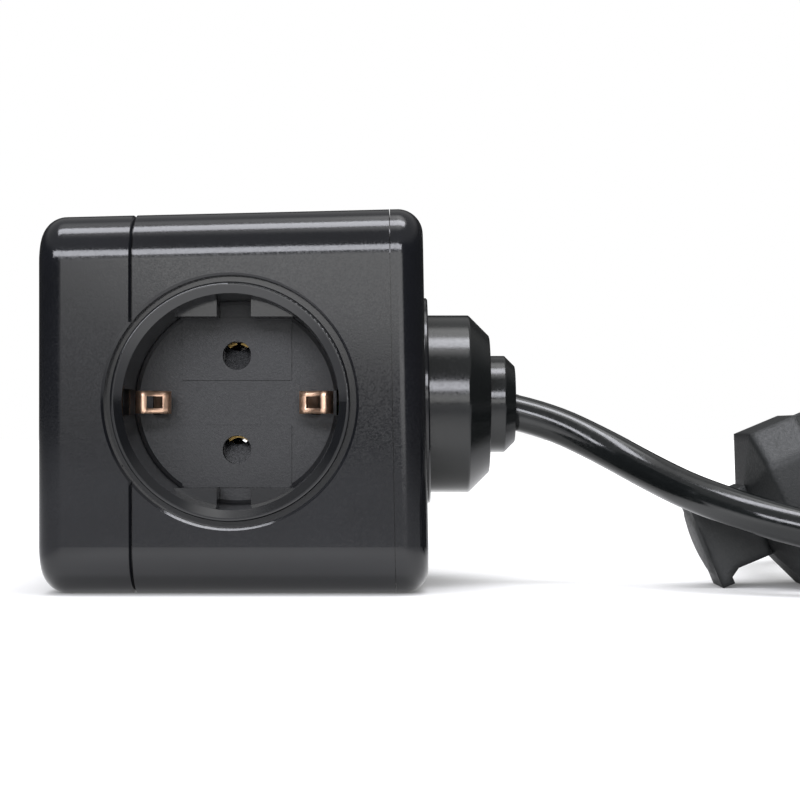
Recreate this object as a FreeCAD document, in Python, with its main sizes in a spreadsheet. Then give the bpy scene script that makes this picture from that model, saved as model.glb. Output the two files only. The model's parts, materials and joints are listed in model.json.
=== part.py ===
import FreeCAD, Part

import math
import os
import re
from types import SimpleNamespace

import Sketcher
from FreeCAD import Placement, Rotation, Vector

# A cube-shaped extension lead: three housing shells round five earthed, shuttered sockets, a cord that
# leaves the sixth side through a stepped outlet, and an angled earthed plug on the cord's far end.
# Millimetres. +Z is up, the front socket faces -Y and the cord leaves towards +X. The origin is under
# the middle of the cube and its outlet, on the surface that they stand on.

SIZES = {
    # Housing
    "right_extra": 0.3,
    "top_drop": 0.3,
    "top_slope": 1.38,
    "end_lean": 1.0,
    "long_radius": 9.5,
    "end_radius": 5.0,
    "wall": 2.5,
    "left_cap_depth": 18.7,
    "right_cap_depth": 6.5,
    "seam_gap": 0.3,
    "seam_bevel": 0.5,
    "tongue_length": 2.0,
    "tongue_thickness": 0.9,
    "fit_gap": 0.15,
    # Sockets
    "bore_radius": 20.3,
    "recess_depth": 17.5,
    "bore_overlap": 0.1,
    "mouth_flare": 0.8,
    "mouth_drop": 1.1,
    "well_wall": 2.0,
    "lip_overhang": 1.0,
    "lip_width": 0.7,
    "lip_sink": 0.3,
    "lip_groove": 1.2,
    "opening_flare": 0.5,
    "flange_width": 4.2,
    "flange_thickness": 2.0,
    "floor_bevel": 0.6,
    "floor_thickness": 1.5,
    "pin_pitch": 19.0,
    "pin_hole_radius": 2.9,
    "segment_width": 3.3,
    "segment_height": 8.0,
    "segment_slot": 6.8,
    "panel_length": 22.0,
    "panel_start": 4.55,
    "panel_rise": 0.3,
    # Shutters, their guides and their springs
    "shutter_width": 9.4,
    "shutter_thickness": 2.4,
    "shutter_travel": 4.0,
    "shutter_rim": 1.1,
    "shutter_play": 0.1,
    "ramp_width": 5.2,
    "guide_width": 2.0,
    "guide_length": 32.0,
    "window_width": 3.8,
    "peg_low": 1.2,
    "peg_width": 1.0,
    "peg_height": 2.3,
    "spring_radius": 0.95,
    "spring_wire": 0.4,
    # Earth clips: a strap behind the socket floor that ends in two bowed clips
    "strip_thickness": 0.6,
    "strip_width": 4.5,
    "clip_inset": 3.8,
    "clip_bow": 2.7,
    "clip_crest_height": 7.6,
    "clip_tip_inset": 0.7,
    "clip_tip_height": 13.6,
    "clip_window_width": 2.3,
    "clip_window_length": 3.0,
    "clip_notch_depth": 1.3,
    # Contacts and busbars
    "contact_width": 5.6,
    "contact_bore": 2.45,
    "contact_slit": 0.8,
    "contact_play": 0.15,
    "bar_thickness": 0.8,
    "bar_width": 2.0,
    # Posts and screws
    "post_radius": 4.0,
    "post_clearance": 0.6,
    "short_post": 7.5,
    "screw_radius": 1.6,
    "screw_length": 24.0,
    "screw_head_radius": 2.9,
    "screw_head_height": 2.0,
    "screw_head_depth": 4.0,
    "clamp_screw_offset": 8.6,
    "clamp_screw_length": 9.0,
    # Outlet
    "pad_radius": 21.7,
    "pad_rise": 0.9,
    "collar_radius": 18.73,
    "collar_length": 12.7,
    "collar_bevel": 4.4,
    "collar_wall": 3.2,
    "collar_flange": 21.2,
    "gland_radius": 10.18,
    "gland_length": 5.4,
    "gland_bevel": 2.2,
    "gland_neck": 7.1,
    "gland_mouth": 5.95,
    "edge_round": 0.7,
    "clamp_inset": 2.0,
    "clamp_width": 6.0,
    "clamp_height": 6.4,
    "clamp_half_length": 12.0,
    "clamp_split": 0.3,
    # Cord
    "cord_diameter": 7.6,
    "core_run": 7.4,
    "bend_depth": 7.3,
    "cord_droop": 1.75,
    "cord_sway": 0.9,
    "core_diameter": 2.4,
    "coil_x": 178.4,
    "coil_y": 49.5,
    "coil_radius": 53.6,
    "coil_pitch": 9.6,
    "coil_layer": 8.3,
    "coil_lift": 0.1,
    "coil_entry": 35.0,
    "layer_half_turns": 4,
    # Plug
    "plug_x": 99.9,
    "plug_y": -10.0,
    "grip_end": 16.0,
    "grip_flange": 2.6,
    "grip_half_height": 10.1,
    "grip_half_depth": 7.0,
    "grip_dome": 1.1,
    "neck_half_height": 7.5,
    "neck_start": 11.5,
    "neck_end": 3.9,
    "head_start": 0.5,
    "head_half": 17.0,
    "head_corner": 7.0,
    "head_length": 10.0,
    "nose_radius": 16.6,
    "nose_length": 9.5,
    "nose_bevel": 1.2,
    "pin_radius": 2.4,
    "pin_root": 6.0,
    "pin_root_radius": 1.8,
    "pin_length": 19.0,
    "earth_groove_width": 6.6,
    "earth_groove_depth": 2.6,
    "earth_strip_width": 5.0,
    "earth_hole_radius": 2.5,
    "relief_length": 20.0,
    "relief_base_radius": 5.2,
    "relief_tip_radius": 4.4,
    "relief_offset": 5.7,
}

# Sizes that follow from the others
FORMULAS = {
    # The cube is as small as its sockets let it be: where two sockets meet, their floors' edges touch
    "half_cube": "bore_radius + recess_depth - bore_overlap",
    "right_reach": "half_cube + right_extra",
    "top_reach": "half_cube - top_drop",
    "left_seam": "half_cube - left_cap_depth",
    "right_seam": "right_reach - right_cap_depth",
    # Levels on a socket's own axis, measured outwards from the point where the five axes meet
    "floor_level": "half_cube - recess_depth",
    "back_level": "floor_level - floor_thickness",
    "strap_level": "back_level - strip_thickness",
    "shutter_top": "strap_level - shutter_play",
    "shutter_bottom": "shutter_top - shutter_thickness",
    "block_level": "shutter_bottom - shutter_play",
    # Radii and distances from a socket's own axis
    "mouth_radius": "bore_radius + mouth_flare",
    "well_radius": "bore_radius + well_wall",
    "lip_radius": "well_radius + lip_overhang",
    "opening_radius": "lip_radius + lip_groove",
    "flange_radius": "well_radius + flange_width",
    "segment_inner": "bore_radius - segment_width",
    "clip_foot": "bore_radius - clip_inset",
    "clip_crest": "clip_foot - clip_bow",
    "clip_tip": "bore_radius - clip_tip_inset",
    "clip_notch": "bore_radius + clip_notch_depth",
    "post_offset": "well_radius + post_radius + post_clearance",
    "post_joint": "right_seam - short_post",
    # Distances along the cord's axis
    "outlet_end": "right_reach + pad_rise + collar_length + gland_length",
    "clamp_start": "right_reach + clamp_inset",
    "cord_start": "back_level + 0.3 + strip_thickness + core_run",
    "cord_bend": "outlet_end - bend_depth",
    # The place of the point where the socket axes meet, in the part's own frame
    "cube_x": "(half_cube - outlet_end) / 2",
    "cube_z": "half_cube",
}

DOC = FreeCAD.newDocument("ExtensionLead")
NODES = {}


def write_sheet():
    """Puts each size and formula in the spreadsheet under its name and returns their values."""
    sheet = DOC.addObject("Spreadsheet::Sheet", "Sizes")
    cells = [(name, str(value)) for name, value in SIZES.items()] + [(name, "=" + text) for name, text in FORMULAS.items()]
    for row, (name, content) in enumerate(cells, 1):
        sheet.set(f"A{row}", name.replace("_", " "))
        sheet.set(f"B{row}", content)
        sheet.setAlias(f"B{row}", name)
    DOC.recompute()
    return SimpleNamespace(**{name: float(sheet.get(name)) for name, content in cells})


size = write_sheet()


def cell(text):
    """A formula in which each size's name refers to its cell."""
    return re.sub(r"[a-z][a-z_]*", lambda word: "Sizes." + word[0] if hasattr(size, word[0]) else word[0], str(text))


def bind(thing, **formulas):
    for name, text in formulas.items():
        thing.setExpression(name.replace("__", "."), cell(text))
    return thing


def seat(thing, x="0", y="0", z="0", rotation=None):
    """Places a thing: its turn first, then its position bound to the sizes."""
    if rotation:
        thing.Placement = Placement(Vector(), rotation)
    for axis, text in (("x", x), ("y", y), ("z", z)):
        if text != "0":
            thing.setExpression(f"Placement.Base.{axis}", cell(text))
    return thing


def spread(text):
    """The two limits of something centred on zero."""
    return f"-({text})", text


def box(name, x, y, z):
    """A block between two limits on each axis."""
    block = DOC.addObject("Part::Box", name)
    for side, (low, high) in (("Length", x), ("Width", y), ("Height", z)):
        block.setExpression(side, cell(f"({high}) - ({low})"))
    return seat(block, x[0], y[0], z[0])


ALONG = {"x": Rotation(Vector(0, 1, 0), 90), "y": Rotation(Vector(1, 0, 0), -90), "z": Rotation()}


def rod(name, radius, span, axis="z", **at):
    """A round bar along an axis, between the two limits of its span."""
    bar = DOC.addObject("Part::Cylinder", name)
    bind(bar, Radius=radius, Height=f"({span[1]}) - ({span[0]})")
    return seat(bar, **{**at, axis: span[0]}, rotation=ALONG[axis])


def join(name, *parts):
    if len(parts) == 1:
        return parts[0]
    fused = DOC.addObject("Part::MultiFuse", name)
    fused.Shapes = list(parts)
    return fused


def common(name, *parts):
    shared = DOC.addObject("Part::MultiCommon", name)
    shared.Shapes = list(parts)
    return shared


def cut(name, base, *tools):
    difference = DOC.addObject("Part::Cut", name)
    difference.Base = base
    difference.Tool = join(name + "_tools", *tools)
    return difference


def mirrored(name, thing, x=0, y=0, z=0):
    """The thing's mirror image in the plane through the origin with this normal."""
    image = DOC.addObject("Part::Mirroring", name)
    image.Source = thing
    image.Normal = Vector(x, y, z)
    return image


def placed(name, thing, rotation):
    """A turned copy that follows the thing's shape."""
    copy = DOC.addObject("Part::Compound", name)
    copy.Links = [thing]
    copy.Placement = Placement(Vector(), rotation)
    return copy


def sketch_on(body, role, corners):
    """A closed outline of straight lines, with each corner's two coordinates bound to the sizes."""
    plane = next(item for item in body.Origin.OriginFeatures if item.Role == role)
    sketch = body.newObject("Sketcher::SketchObject", body.Name + "_outline")
    sketch.AttachmentSupport = [(plane, "")]
    sketch.MapMode = "FlatFace"
    count = len(corners)
    ring = [Vector(math.cos(2 * math.pi * i / count), math.sin(2 * math.pi * i / count), 0) for i in range(count)]
    for i in range(count):
        sketch.addGeometry(Part.LineSegment(ring[i], ring[(i + 1) % count]))
    for i in range(count):
        sketch.addConstraint(Sketcher.Constraint("Coincident", i, 2, (i + 1) % count, 1))
    for i, (across, up) in enumerate(corners):
        for kind, start, text in (("DistanceX", ring[i].x, across), ("DistanceY", ring[i].y, up)):
            index = sketch.addConstraint(Sketcher.Constraint(kind, -1, 1, i, 1, start))
            sketch.renameConstraint(index, f"{kind}{i}")
            sketch.setExpression(f"Constraints.{kind}{i}", cell(text))
    return sketch


def turned(name, corners):
    """A body turned about its own Z axis from an outline of radius and height."""
    body = DOC.addObject("PartDesign::Body", name)
    sketch = sketch_on(body, "XZ_Plane", corners)
    revolution = body.newObject("PartDesign::Revolution", name + "_turn")
    revolution.Profile = sketch
    revolution.ReferenceAxis = (sketch, ["V_Axis"])
    revolution.Angle = 360
    DOC.recompute()
    return body


def padded(name, role, corners, thickness):
    """A body padded to both sides of an outline's plane."""
    body = DOC.addObject("PartDesign::Body", name)
    pad = body.newObject("PartDesign::Pad", name + "_pad")
    pad.Profile = sketch_on(body, role, corners)
    pad.SideType = "Symmetric"
    bind(pad, Length=thickness)
    DOC.recompute()
    return body


def rounded(body, radius, wanted):
    """Fillets the edges of a body that the test picks."""
    tip = body.Tip
    names = [f"Edge{i}" for i, edge in enumerate(tip.Shape.Edges, 1) if wanted(edge)]
    fillet = body.newObject("PartDesign::Fillet", body.Name + "_round")
    fillet.Base = (tip, names)
    bind(fillet, Radius=radius)
    DOC.recompute()
    return body


def circle_at(radius, height):
    """A test for a body's round edge of this radius at this height."""

    def test(edge):
        curve = edge.Curve
        return isinstance(curve, Part.Circle) and math.hypot(curve.Radius - radius, curve.Center.z - height) < 0.01

    return test


def keep(node, thing, x="0", y="0", z="0", rotation=None):
    """Names a finished piece and puts it where it belongs."""
    thing.Label = node
    NODES[node] = seat(thing, x, y, z, rotation)


CENTRE = {"x": "cube_x", "z": "cube_z"}

# Each socket's clip line, pin line and outward direction
SIDES = {
    "front": ((1, 0, 0), (0, 0, 1), (0, -1, 0)),
    "back": ((-1, 0, 0), (0, 0, 1), (0, 1, 0)),
    "top": ((0, -1, 0), (1, 0, 0), (0, 0, 1)),
    "bottom": ((0, 1, 0), (1, 0, 0), (0, 0, -1)),
    "left": ((0, 0, 1), (0, 1, 0), (-1, 0, 0)),
}


def facing(side):
    return Rotation(*(Vector(*axis) for axis in SIDES[side]), "ZXY")


def shell_block(name, corners, half_depth, long_radius, end_radius):
    """A block with an outline seen from the front, its long edges rounded and then its two ends."""
    body = padded(name, "XZ_Plane", corners, f"2 * ({half_depth})")
    spread_x = body.Shape.BoundBox.XLength

    def is_long(edge):
        return edge.BoundBox.XLength > spread_x / 2

    def is_end(edge):
        return edge.BoundBox.XLength < spread_x / 2

    rounded(body, long_radius, is_long)
    return rounded(body, end_radius, is_end)


def outer_block(name):
    """The outside of the housing: level below, sloping above, with a leaning right end."""
    low_right = "right_reach + half_cube * tan(end_lean)"
    height_right = "(top_reach + right_reach * tan(top_slope)) / (1 + tan(end_lean) * tan(top_slope))"
    corners = [
        ("-half_cube", "-half_cube"),
        (low_right, "-half_cube"),
        (f"right_reach - {height_right} * tan(end_lean)", height_right),
        ("-half_cube", "top_reach - half_cube * tan(top_slope)"),
    ]
    return shell_block(name, corners, "half_cube", "long_radius", "end_radius")


def inner_block(name, inset):
    """The housing's hollow, or the outside of its tongues, square and set in from the outside."""
    left, low, high = f"{inset} - half_cube", f"{inset} - half_cube", f"half_cube - {inset}"
    right = f"right_reach - {inset}"
    corners = [(left, low), (right, low), (right, high), (left, high)]
    return shell_block(name, corners, f"half_cube - {inset}", f"long_radius - {inset}", f"end_radius - {inset} / 2")


def opening_cutter(name, side):
    """What a socket opening takes out of the housing, flared a little at the outside."""
    outline = [
        ("0", "half_cube - 2 * wall"),
        ("opening_radius", "half_cube - 2 * wall"),
        ("opening_radius", "half_cube - opening_flare"),
        ("opening_radius + opening_flare", "half_cube"),
        ("opening_radius + opening_flare", "half_cube + wall"),
        ("0", "half_cube + wall"),
    ]
    return seat(turned(name, outline), rotation=facing(side))


def four_corners(maker):
    """The same thing at each of the four posts."""
    return [maker(i, f"{y} * post_offset", f"{z} * post_offset") for i, (y, z) in enumerate(((1, 1), (1, -1), (-1, 1), (-1, -1)))]


def bevelled(name, cap):
    """The left cap's outside with the rim at its seam bevelled."""
    DOC.recompute()
    rim = -size.left_seam - size.seam_gap / 2
    edges = [i for i, edge in enumerate(cap.Shape.Edges, 1) if abs(edge.BoundBox.XMin - rim) + abs(edge.BoundBox.XMax - rim) < 0.01]
    bevel = DOC.addObject("Part::Chamfer", name)
    bevel.Base = cap
    bevel.Edges = [(i, size.seam_bevel, size.seam_bevel) for i in edges]
    return bevel


def housing():
    reach = "3 * half_cube"
    outside = outer_block("outer_form")
    hollow = inner_block("hollow_form", "wall")
    tongue_form = inner_block("tongue_form", "(wall - tongue_thickness)")
    groove_form = inner_block("groove_form", "(wall - tongue_thickness - fit_gap)")
    openings = join("openings", *(opening_cutter("opening_" + side, side) for side in SIDES))

    def zone(name, start, end, leaning=False):
        """A block across the whole housing; a leaning one is as far out at the bottom as the right end is."""
        block = box(name, (start, end), spread(reach), spread(reach))
        if leaning:
            block.Placement = Placement(Vector(), Rotation(Vector(0, -1, 0), 1))
            bind(block, Placement__Rotation__Angle="end_lean", Placement__Base__x=f"{start} + {reach} * sin(end_lean)",
                 Placement__Base__z=f"-{reach} * cos(end_lean)")
        return block

    left_end = "-left_seam - seam_gap / 2"
    left_start = "-left_seam + seam_gap / 2"
    right_end = "right_seam - seam_gap / 4"
    right_start = "right_seam + seam_gap / 4"
    left_groove = zone("left_groove", "-left_seam - tongue_length - fit_gap", "0")
    right_groove = zone("right_groove", "0", "right_seam + tongue_length + fit_gap")

    posts = four_corners(lambda i, y, z: rod(f"left_post_{i}", "post_radius", ("wall / 2 - half_cube", "post_joint"), "x", y=y, z=z))
    pilots = four_corners(lambda i, y, z: rod(
        f"pilot_{i}", "screw_radius + 0.05", ("right_reach - screw_head_depth - screw_length - 1", "post_joint + 1"), "x", y=y, z=z))
    cap_form = bevelled("left_cap_bevel", common("left_cap_form", outside, zone("left_zone", f"-{reach}", left_end)))
    cap_wall = cut("left_cap_wall", cap_form, hollow, common("left_groove_form", groove_form, left_groove), openings)
    keep("left_cap", cut("left_cap", join("left_cap_posts", cap_wall, *posts), *pilots), **CENTRE)

    skin = cut("middle_skin", outside, zone("left_side", f"-{reach}", left_start), zone("right_side", right_end, reach, True), hollow)
    ring = cut("tongue_ring", tongue_form, hollow)
    tongues = common("tongues", ring, zone("tongue_zone", "-left_seam - tongue_length", "right_seam + tongue_length"))
    keep("middle_shell", cut("middle_shell", join("middle_form", skin, tongues), openings), **CENTRE)

    pad = turned("outlet_pad", [
        ("0", "right_reach - wall / 2"),
        ("pad_radius", "right_reach - wall / 2"),
        ("pad_radius", "right_reach + pad_rise - 0.3"),
        ("pad_radius - 0.3", "right_reach + pad_rise"),
        ("0", "right_reach + pad_rise"),
    ])
    seat(pad, rotation=Rotation(Vector(0, 1, 0), 90))
    bind(pad, Placement__Rotation__Angle="90 - end_lean")
    head_seat = "right_reach - screw_head_depth"
    short_posts = four_corners(lambda i, y, z: rod(
        f"right_post_{i}", "post_radius", ("post_joint + fit_gap", "right_reach - wall / 2"), "x", y=y, z=z))
    clearances = four_corners(lambda i, y, z: rod(f"clearance_{i}", "screw_radius + 0.3", ("post_joint", head_seat + " + 1"), "x", y=y, z=z))
    recesses = four_corners(lambda i, y, z: rod(f"screw_recess_{i}", "screw_head_radius + 0.2", (head_seat, "right_reach + wall"), "x", y=y, z=z))
    cap = cut("right_cap_wall", common("right_cap_form", outside, zone("right_zone", right_start, reach, True)),
              hollow, common("right_groove_form", groove_form, right_groove))
    way_out = rod("outlet_hole", "collar_radius + fit_gap", ("post_joint", "right_reach + 2 * wall"), "x")
    keep("right_cap", cut("right_cap", join("right_cap_posts", cap, pad, *short_posts), way_out, *clearances, *recesses), **CENTRE)

    screws = []
    for i, (y, z) in enumerate(((1, 1), (1, -1), (-1, 1), (-1, -1))):
        screw = turned(f"housing_screw_{i}", [
            ("0", "-screw_length"),
            ("screw_radius", "-screw_length + screw_radius"),
            ("screw_radius", "0"),
            ("screw_head_radius", "0"),
            ("screw_head_radius", "screw_head_height - 0.5"),
            ("screw_head_radius - 0.9", "screw_head_height"),
            ("screw_radius", "screw_head_height"),
            ("screw_radius / 2", "screw_head_height - 1.2"),
            ("0", "screw_head_height - 1.2"),
        ])
        screws.append(seat(screw, head_seat, f"{y} * post_offset", f"{z} * post_offset", ALONG["x"]))
    group = DOC.addObject("Part::Compound", "housing_screws")
    group.Links = screws
    keep("housing_screws", group, **CENTRE)


def socket_well():
    """The insert of one socket, with its axis along Z and the pins in line along Y."""
    body = turned("well_form", [
        ("0", "back_level"),
        ("well_radius", "back_level"),
        ("well_radius", "half_cube - wall - flange_thickness"),
        ("flange_radius", "half_cube - wall - flange_thickness"),
        ("flange_radius", "half_cube - wall"),
        ("lip_radius", "half_cube - wall"),
        ("lip_radius", "half_cube - lip_sink"),
        ("lip_radius - lip_width", "half_cube - lip_sink"),
        ("mouth_radius", "half_cube - lip_sink - mouth_drop"),
        ("bore_radius", "floor_level + floor_bevel"),
        ("bore_radius - floor_bevel", "floor_level"),
        ("0", "floor_level"),
    ])
    rounded(body, "lip_width * 0.7", circle_at(size.lip_radius, size.half_cube - size.lip_sink))
    quarter = DOC.addObject("Part::Wedge", "quarter")
    for axis in "XZ":
        bind(quarter, **{
            f"{axis}min": "0.15 - back_level", f"{axis}max": "back_level - 0.15",
            f"{axis}2min": "0.15 - half_cube", f"{axis}2max": "half_cube - 0.15",
        })
    bind(quarter, Ymin="back_level", Ymax="half_cube")
    quarter.Placement = Placement(Vector(), Rotation(Vector(1, 0, 0), 90))
    above = "floor_level - 0.2"
    disc = rod("segment_disc", "bore_radius + 0.5", (above, "floor_level + segment_height"))
    band = box("segment_band", spread("2 * bore_radius"), spread("segment_inner"), ("back_level", "half_cube"))
    key = box("segment_key", spread("segment_slot / 2"), spread("2 * bore_radius"), ("back_level", "half_cube"))
    segments = cut("segments", disc, band, key)
    panels = [
        box(f"panel_{i}", spread("panel_length / 2"), limits, (above, "floor_level + panel_rise"))
        for i, limits in enumerate((("panel_start", "segment_inner + 0.1"), ("-segment_inner - 0.1", "-panel_start")))
    ]
    form = common("well_quarter", join("well_round", body, segments, *panels), quarter)
    rail = ("shutter_width / 2 + shutter_play", "shutter_width / 2 + shutter_play + guide_width")
    rails = [
        box(f"guide_{i}", limits, spread("guide_length / 2"), ("block_level", "back_level + 0.1"))
        for i, limits in enumerate((rail, (f"-({rail[1]})", f"-({rail[0]})")))
    ]
    strap_way = box("strap_way", spread("clip_foot"), spread("strip_width / 2 + fit_gap"), ("strap_level", "back_level"))
    guides = cut("guides", join("guide_pair", *rails), strap_way)
    pin_holes = [rod(f"pin_hole_{i}", "pin_hole_radius", ("block_level", "half_cube"), y=f"{s} * pin_pitch / 2") for i, s in enumerate((1, -1))]
    slots, notches = [], []
    for i, s in enumerate((1, -1)):
        near, far = ("clip_foot - 2 * strip_thickness", "clip_foot + strip_thickness / 2 + fit_gap")
        limits = (near, far) if s > 0 else (f"-({far})", f"-({near})")
        slots.append(box(f"clip_slot_{i}", limits, spread("strip_width / 2 + fit_gap"), ("strap_level", "floor_level + 1")))
        limits = ("clip_foot", "clip_notch") if s > 0 else ("-clip_notch", "-clip_foot")
        notches.append(box(f"clip_notch_{i}", limits, spread("strip_width / 2 + 2 * fit_gap"), ("floor_level", "half_cube - wall")))
    return cut("well", join("well_pieces", form, guides), *pin_holes, *slots, *notches)


def shutter():
    """A sliding plate with a hole and a ramp for each pin, shown where its spring holds it."""
    low = "-pin_pitch / 2 - pin_hole_radius - shutter_rim"
    high = "pin_pitch / 2 + shutter_travel + pin_hole_radius + shutter_rim"
    plate = box("shutter_plate", spread("shutter_width / 2"), (low, high), ("shutter_bottom", "shutter_top"))
    cuts = []
    for i, s in enumerate((1, -1)):
        hole_y = f"{s} * pin_pitch / 2 + shutter_travel"
        cuts.append(rod(f"shutter_hole_{i}", "pin_hole_radius", ("block_level", "strap_level"), y=hole_y))
        ramp = padded(f"shutter_ramp_{i}", "YZ_Plane", [
            (f"{hole_y} - shutter_travel - pin_hole_radius", "shutter_top"),
            (f"{hole_y}", "shutter_bottom"),
            (f"{hole_y}", "strap_level"),
            (f"{hole_y} - shutter_travel - pin_hole_radius", "strap_level"),
        ], "ramp_width")
        cuts.append(ramp)
    window_high = "pin_pitch / 2 - pin_hole_radius - shutter_rim"
    cuts.append(box("shutter_window", spread("window_width / 2"), ("-peg_low - shutter_play", window_high), ("block_level", "strap_level")))
    return cut("shutter", plate, *cuts)


def spring():
    """The coil spring between the fixed peg and the shutter's window, as a sleeve."""
    span = ("-peg_low + peg_width", "pin_pitch / 2 - pin_hole_radius - shutter_rim")
    middle = "(shutter_top + shutter_bottom) / 2"
    outside = rod("spring_outside", "spring_radius", span, "y", z=middle)
    inside = rod("spring_inside", "spring_radius - spring_wire", span, "y", z=middle)
    return cut("spring", outside, inside)


def route_radii(points):
    """The bend radius at each inner point of a route: as large as its two runs allow."""
    radii = []
    for before, here, after in zip(points, points[1:], points[2:]):
        turn = (here - before).getAngle(after - here)
        radii.append(0.45 * min((here - before).Length, (after - here).Length) / math.tan(turn / 2))
    return radii


def arc_from(start, heading, end):
    """The arc that leaves start along heading and ends at end."""
    chord = end - start
    along = Vector(chord).normalize()
    side = heading - along * heading.dot(along)
    middle = (start + end) / 2
    if side.Length > 1e-9:
        rise = math.tan(heading.getAngle(chord) / 2) * chord.Length / 2
        middle += side.normalize() * rise
    return Part.Arc(start, middle, end).toShape()


def route_edges(points):
    """Straight runs joined by tangent arcs."""
    edges, here = [], points[0]
    for before, corner, after in zip(points, points[1:], points[2:]):
        back, ahead = (before - corner), (after - corner)
        tangent = 0.45 * min(back.Length, ahead.Length)
        enter = corner + Vector(back).normalize() * tangent
        leave = corner + Vector(ahead).normalize() * tangent
        edges.append(Part.LineSegment(here, enter).toShape())
        edges.append(arc_from(enter, (corner - before).normalize(), leave))
        here = leave
    edges.append(Part.LineSegment(here, points[-1]).toShape())
    return edges


def swept(edges, profile):
    """A profile carried along a path of joined edges."""
    solid = Part.Wire(edges).makePipeShell([profile], True, False)
    return solid if solid.Volume > 0 else solid.reversed()


def round_profile(start, heading, diameter):
    return Part.Wire([Part.Circle(start, heading, diameter / 2).toShape()])


def report_tube(name, edges, solid, diameter):
    length = sum(edge.Length for edge in edges)
    ratio = solid.Volume / (length * math.pi * (diameter / 2) ** 2)
    print(f"{name}: length {length:.1f}, volume {ratio:.4f} of section times length")


def tube(name, points, diameter):
    """A round cord along a route, with its radii and volume printed."""
    route = [Vector(point) for point in points]
    edges = route_edges(route)
    piece = DOC.addObject("Part::Feature", name)
    piece.Shape = swept(edges, round_profile(route[0], route[1] - route[0], diameter))
    report_tube(name, edges, piece.Shape, diameter)
    print(f"{name}: radii {', '.join(f'{radius:.0f}' for radius in route_radii(route))}")
    return piece


def earth_bracket():
    """A strap behind the floor whose two ends come up through it and bow in as side contacts."""
    strap = box("earth_strap", spread("clip_foot"), spread("strip_width / 2"), ("strap_level", "back_level"))
    middle = size.back_level - size.strip_thickness / 2
    route = [
        Vector(size.clip_foot - 2, 0, middle),
        Vector(size.clip_foot, 0, middle),
        Vector(size.clip_foot, 0, size.floor_level + 1.2),
        Vector(size.clip_crest, 0, size.floor_level + size.clip_crest_height - 1.8),
        Vector(size.clip_crest, 0, size.floor_level + size.clip_crest_height + 0.6),
        Vector(size.clip_tip, 0, size.floor_level + size.clip_tip_height),
        Vector(size.clip_tip + 1.2, 0, size.floor_level + size.clip_tip_height + 0.3),
    ]
    half_thick, half_wide = size.strip_thickness / 2, size.strip_width / 2
    corners = [Vector(route[0].x, y, middle + z) for y, z in (
        (-half_wide, -half_thick), (half_wide, -half_thick), (half_wide, half_thick), (-half_wide, half_thick))]
    profile = Part.makePolygon(corners + corners[:1])
    clip = DOC.addObject("Part::Feature", "earth_clip")
    clip.Shape = swept(route_edges(route), profile)
    window = box("clip_window", ("clip_foot - 1.1", "clip_foot - 1.1 + clip_window_length"), spread("clip_window_width / 2"),
                 ("floor_level + clip_crest_height", "half_cube"))
    open_clip = cut("open_clip", clip, window)
    return join("earth_bracket", strap, open_clip, mirrored("open_clip_image", open_clip, x=1))


def sockets():
    pieces = {
        "socket_well": socket_well(),
        "shutter": shutter(),
        "shutter_spring": spring(),
        "earth_clips": earth_bracket(),
    }
    for side in SIDES:
        for kind, piece in pieces.items():
            keep(f"{kind}_{side}", placed(f"{kind}_{side}", piece, facing(side)), **CENTRE)


# Each contact runs right through the block and serves the two sockets it faces
CONTACTS = {
    "front_back": ("y", "z"),
    "top_bottom": ("z", "x"),
    "left": ("x", "y"),
}


def contact_place(along, across, sign, half, reach):
    """The limits of something square along one axis, set to one side of it on a pin line."""
    limits = {axis: spread(half) for axis in "xyz"}
    limits[along] = spread(reach)
    limits[across] = (f"{sign} * pin_pitch / 2 - ({half})", f"{sign} * pin_pitch / 2 + ({half})")
    return limits


def contacts():
    bars, channels = {}, []
    for pole, sign in (("live", 1), ("neutral", -1)):
        for where, (along, across) in CONTACTS.items():
            node = f"{pole}_contact_{where}"
            sleeve = box(node + "_bar", **contact_place(along, across, sign, "contact_width / 2", "block_level - 0.4"))
            at = {across: f"{sign} * pin_pitch / 2"}
            bore = rod(node + "_bore", "contact_bore", spread("half_cube"), along, **at)
            slit_limits = contact_place(along, across, sign, "contact_slit / 2", "half_cube")
            outer = f"{sign} * (pin_pitch / 2 + contact_width)"
            inner = f"{sign} * pin_pitch / 2"
            slit_limits[across] = (inner, outer) if sign > 0 else (outer, inner)
            slit = box(node + "_slit", **slit_limits)
            bars[node] = cut(node, sleeve, bore, slit)
            channels.append(box(node + "_channel", **contact_place(
                along, across, sign, "contact_width / 2 + contact_play", "block_level + 1")))
    for node, bar in bars.items():
        keep(node, bar, **CENTRE)
    return channels


def bars(name, limits, play=""):
    """Flat strips joined into one busbar, or the slots that hold them with a little play."""
    strips = []
    for i, spans in enumerate(limits):
        grown = [(f"{low} - {play}", f"{high} + {play}") if play else (low, high) for low, high in spans]
        strips.append(box(f"{name}_{i}", *grown))
    return join(name, *strips)


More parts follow.
